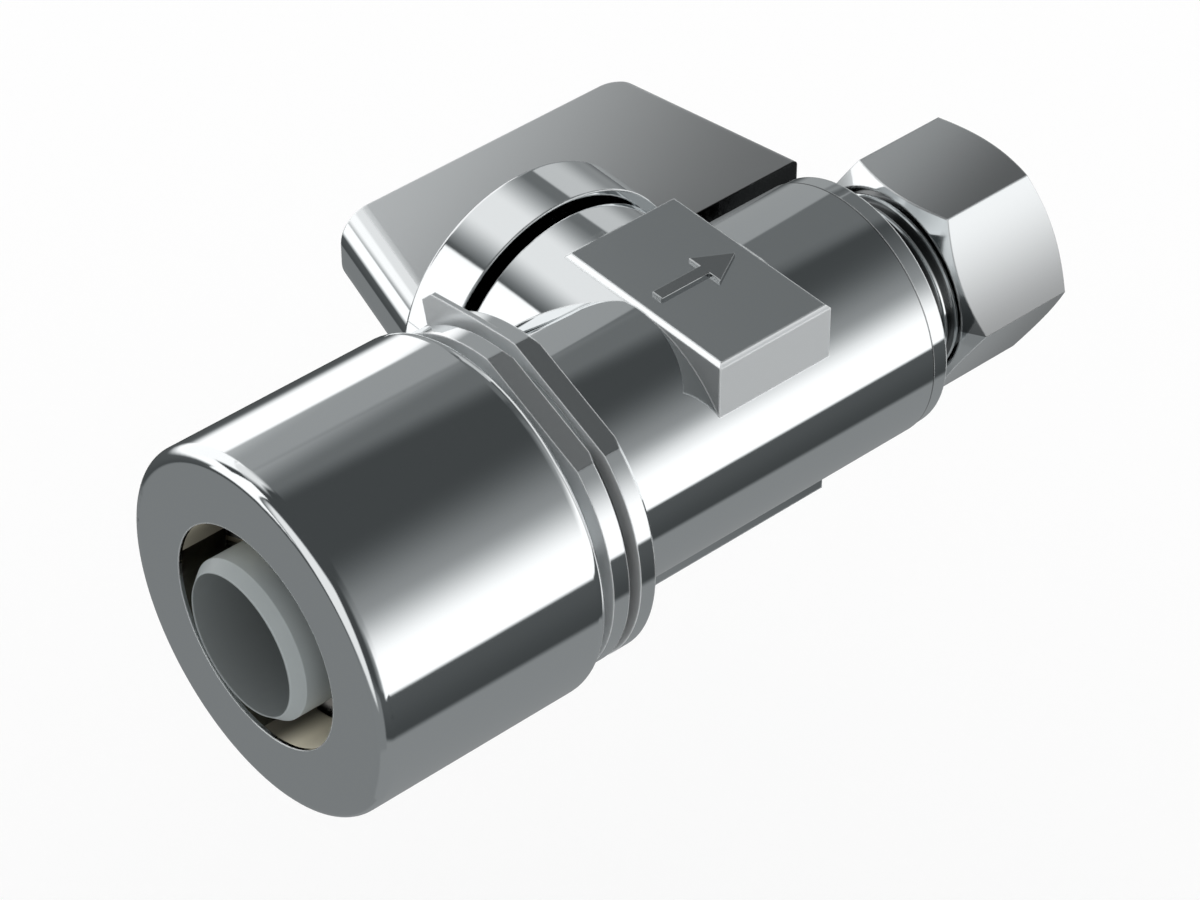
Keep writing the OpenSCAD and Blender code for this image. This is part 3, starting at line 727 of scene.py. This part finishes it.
class VALVE_OT_outlet_thread(bpy.types.Operator):
    """Ridge of the male thread that the nut runs on"""

    bl_idname = "valve.outlet_thread"
    bl_label = "Outlet Thread"

    def execute(self, context):
        """Winds the ridge's section round the flow line."""
        thread = context.scene.valve_thread
        plate = context.scene.valve_plate
        start_piece()
        bpy.ops.mesh.primitive_plane_add(size=1.0)
        piece = context.object
        low, high = thread.root - thread.sunk, thread.crest
        flat = thread.crest_flat / 2
        foot = flat + (high - low) * tan(thread.flank)
        corners = [(-foot, low), (foot, low), (-flat, high), (flat, high)]
        for vertex, (along, out) in zip(piece.data.vertices, corners):
            vertex.co = (thread.start + along, 0.0, out)
        wind = piece.modifiers.new("Wind", "SCREW")
        wind.axis = "X"
        wind.angle = 2 * pi
        wind.screw_offset = thread.pitch
        wind.iterations = thread.turns
        wind.steps = thread.steps
        wind.render_steps = thread.steps
        wind.use_smooth_shade = False
        bpy.ops.object.modifier_apply(modifier=wind.name)
        bpy.ops.object.mode_set(mode="EDIT")
        bpy.ops.mesh.select_all(action="SELECT")
        bpy.ops.mesh.remove_doubles(threshold=0.0005 * MM)
        bpy.ops.mesh.normals_make_consistent(inside=False)
        bpy.ops.object.mode_set(mode="OBJECT")
        bpy.ops.object.shade_smooth_by_angle(angle=radians(25))
        # Painted shade on the ridge below its bright crest
        root = Ring(high - thread.bright, 0, FAR, darker(plate.plate, thread.shade), satin=0.1)
        finish = chrome(plate, "chrome_thread", plate.plate, 2 * plate.plate_rough, plate.edge / 4, [root])
        finish_piece(piece, "outlet_thread", finish, "valve")
        return {"FINISHED"}


class VALVE_OT_flow_arrow(bpy.types.Operator):
    """Plain raised arrow on the top pad that points along the flow"""

    bl_idname = "valve.flow_arrow"
    bl_label = "Flow Arrow"

    def execute(self, context):
        """Joins a shaft and a three-cornered head, and bevels their edges."""
        arrow = context.scene.valve_arrow
        plate = context.scene.valve_plate
        along, across = arrow.middle
        thick = arrow.rise + arrow.sunk
        height = plate.pad_top - arrow.sunk + thick / 2
        tip = along + arrow.whole / 2
        # A triangle reaches half as far back from its middle as its corners lie from it
        head_back = tip - 1.5 * arrow.head
        shaft_back = along - arrow.whole / 2
        shaft_front = (head_back + tip) / 2
        start_piece()
        bpy.ops.mesh.primitive_cube_add(
            size=1.0, location=((shaft_back + shaft_front) / 2, across, height),
            scale=(shaft_front - shaft_back, arrow.shaft, thick))
        shaft = context.object
        start_piece()
        bpy.ops.mesh.primitive_cylinder_add(
            vertices=3, radius=arrow.head, depth=thick, location=(tip - arrow.head, across, height),
            rotation=(0, 0, -pi / 2))
        piece = context.object
        join = piece.modifiers.new("Join", "BOOLEAN")
        join.operation = "UNION"
        join.object = shaft
        join.solver = "EXACT"
        bpy.ops.object.modifier_apply(modifier=join.name)
        bpy.data.objects.remove(shaft)
        soften = piece.modifiers.new("Soften", "BEVEL")
        soften.width = arrow.soft
        soften.segments = 2
        soften.limit_method = "ANGLE"
        soften.angle_limit = radians(40)
        bpy.ops.object.modifier_apply(modifier=soften.name)
        finish = chrome(plate, "chrome_arrow", darker(plate.plate, arrow.shade), arrow.rough, plate.edge / 4)
        finish_piece(piece, "flow_arrow", finish, "valve")
        return {"FINISHED"}


def studio_light(context):
    """Panels and dark gaps round the object, which only glossy rays see, and plain white light besides."""
    world = bpy.data.worlds.new("Studio")
    context.scene.world = world
    world.use_nodes = True
    tree = world.node_tree
    tree.nodes.clear()
    way = set_up(tree, "ShaderNodeSeparateXYZ")
    feed(tree, way.inputs[0], set_up(tree, "ShaderNodeTexCoord").outputs["Generated"])
    to_degrees = 180 / pi
    backwards = calc(tree, "MULTIPLY", way.outputs["Y"], -1.0)
    azimuth = calc(tree, "MULTIPLY", calc(tree, "ARCTAN2", way.outputs["X"], backwards), to_degrees)
    elevation = calc(tree, "MULTIPLY", calc(tree, "ARCSINE", way.outputs["Z"]), to_degrees)
    # Each panel: level, centre, half width, side fade, bottom, bottom fade, top, top fade
    panels = {
        "ground": (0.28, 0, 180, 1, -95, 1, -44, 4),
        "ground behind": (0.235, -145, 40, 20, -95, 1, -38, 4),
        "front shade": (0.10, 0, 180, 1, -18, 24, -14, 3),
        "left ground": (0.24, -80, 33, 10, -46, 3, -22, 6),
        "left wash": (0.95, -93, 22, 8, -26, 6, 20, 12),
        "glow": (0.35, 34, 40, 30, -10, 4, 22, 36),
        "key": (1.28, 34, 32, 14, -15.5, 2.5, 2, 28),
        "far glow": (0.17, 132, 24, 16, 30, 10, 52, 8),
        "far side": (0.29, 130, 10, 3, -8, 14, 20, 6),
        "far wall": (0.36, 150.5, 8.5, 1, -8, 14, 36, 3),
        "far edge": (0.62, 126, 8.5, 1.5, 17, 20, 29, 2),
        "back": (1.25, -170, 38.5, 1.5, -6, 12, 14, 3),
        "back top": (1.20, 180, 20, 9, -2, 6, 38, 5),
        "back dome": (0.93, 180, 14, 30, 40, 4, 57, 8),
        "side": (1.25, -131, 8, 1.5, -20, 8, 38, 2),
        "ahead": (0.95, 100, 18, 6, -36, 8, 8, 10),
    }
    fields = ["Level", "Centre", "Half width", "Side fade", "Bottom", "Bottom fade", "Top", "Top fade"]
    # Level where no panel is
    level = 0.068
    for values in panels.values():
        settings = {field.replace(" ", "_"): value for field, value in zip(fields, values)}
        level = place_group(tree, group_named("Softbox"), Under=level, Azimuth=azimuth, Elevation=elevation,
                            **settings)["Level"]
    seen = set_up(tree, "ShaderNodeLightPath").outputs
    # The darker a part of the studio, the cooler it is
    shade = set_up(tree, "ShaderNodeCombineColor")
    for channel, cooling in zip(shade.inputs, (1.04, 1.01, 1.0)):
        feed(tree, channel, calc(tree, "POWER", level, cooling))
    plain = set_up(tree, "ShaderNodeBackground")
    plain.inputs["Color"].default_value = (1, 1, 1, 1)
    studio = set_up(tree, "ShaderNodeBackground")
    feed(tree, studio.inputs["Color"], shade.outputs[0])
    choose = set_up(tree, "ShaderNodeMixShader")
    feed(tree, choose.inputs[0], seen["Is Glossy Ray"])
    tree.links.new(plain.outputs[0], choose.inputs[1])
    tree.links.new(studio.outputs[0], choose.inputs[2])
    tree.links.new(choose.outputs[0], set_up(tree, "ShaderNodeOutputWorld").inputs["Surface"])


def add_floor(context, stage):
    """A plain pale floor below the object, which holds its soft shadow."""
    low = CAD_BOX[0].z - stage.drop
    start_piece()
    bpy.ops.mesh.primitive_plane_add(size=stage.spread, location=(0, 0, low))
    floor = context.object
    floor.name = "floor"
    material, tree, shader = new_material("floor_paint")
    shader.inputs["Base Color"].default_value = solid(stage.floor)
    shader.inputs["Roughness"].default_value = 1.0
    shader.inputs["Specular IOR Level"].default_value = 0.0
    clear = set_up(tree, "ShaderNodeBsdfTransparent")
    hidden = calc(tree, "MAXIMUM", set_up(tree, "ShaderNodeLightPath").outputs["Is Glossy Ray"],
                  set_up(tree, "ShaderNodeNewGeometry").outputs["Backfacing"])
    choose = set_up(tree, "ShaderNodeMixShader")
    feed(tree, choose.inputs[0], hidden)
    tree.links.new(shader.outputs[0], choose.inputs[1])
    tree.links.new(clear.outputs[0], choose.inputs[2])
    output = next(node for node in tree.nodes if node.type == "OUTPUT_MATERIAL")
    tree.links.new(choose.outputs[0], output.inputs["Surface"])
    floor.data.materials.append(material)


def add_camera(context, stage):
    """The camera at the photograph's place."""
    azimuth, elevation, roll = stage.azimuth, stage.elevation, stage.roll
    back = Vector((sin(azimuth) * cos(elevation), -cos(azimuth) * cos(elevation), sin(elevation)))
    right = Vector((0, 0, 1)).cross(back).normalized()
    up = back.cross(right)
    right, up = cos(roll) * right + sin(roll) * up, cos(roll) * up - sin(roll) * right
    data = bpy.data.cameras.new("camera")
    data.lens = stage.lens
    data.sensor_width = 36.0
    data.clip_start = 0.01
    camera = bpy.data.objects.new("camera", data)
    context.scene.collection.objects.link(camera)
    turned = Matrix((right, up, back)).transposed()
    camera.matrix_world = Matrix.Translation(stage.camera) @ turned.to_4x4()
    context.scene.camera = camera


class VALVE_OT_stage(bpy.types.Operator):
    """Floor, studio light and camera"""

    bl_idname = "valve.stage"
    bl_label = "Stage"

    def execute(self, context):
        """Sets up what isn't part of the object."""
        stage = context.scene.valve_stage
        studio_light(context)
        add_floor(context, stage)
        add_camera(context, stage)
        context.scene.view_settings.view_transform = "Standard"
        return {"FINISHED"}


OPERATORS = [VALVE_OT_stage, VALVE_OT_plated_pieces, VALVE_OT_brass_and_steel, VALVE_OT_plastic_and_rubber,
             VALVE_OT_outlet_thread, VALVE_OT_flow_arrow]
SETTINGS = {"valve_plate": PlateProperties, "valve_soft": SoftProperties, "valve_thread": ThreadProperties,
            "valve_arrow": ArrowProperties, "valve_stage": StageProperties}


class VALVE_PT_panel(bpy.types.Panel):
    """Lists the valve's operators"""

    bl_idname = "VALVE_PT_panel"
    bl_label = "Stop Valve"
    bl_space_type = "VIEW_3D"
    bl_region_type = "UI"
    bl_category = "Valve"

    def draw(self, context):
        """One button for each operator."""
        for operator in OPERATORS:
            self.layout.operator(operator.bl_idname)


def register():
    """Registers the classes and hangs the settings on the scene."""
    for kind in [*SETTINGS.values(), *OPERATORS, VALVE_PT_panel]:
        bpy.utils.register_class(kind)
    for name, kind in SETTINGS.items():
        setattr(bpy.types.Scene, name, PointerProperty(type=kind))


def unregister():
    """Takes the settings and the classes away again."""
    for name in SETTINGS:
        delattr(bpy.types.Scene, name)
    for kind in [VALVE_PT_panel, *reversed(OPERATORS), *reversed(list(SETTINGS.values()))]:
        bpy.utils.unregister_class(kind)


def main():
    """Runs every operator in order."""
    register()
    bpy.ops.valve.stage()
    bpy.ops.valve.plated_pieces()
    bpy.ops.valve.brass_and_steel()
    bpy.ops.valve.plastic_and_rubber()
    bpy.ops.valve.outlet_thread()
    bpy.ops.valve.flow_arrow()


if __name__ == "__main__":
    main()
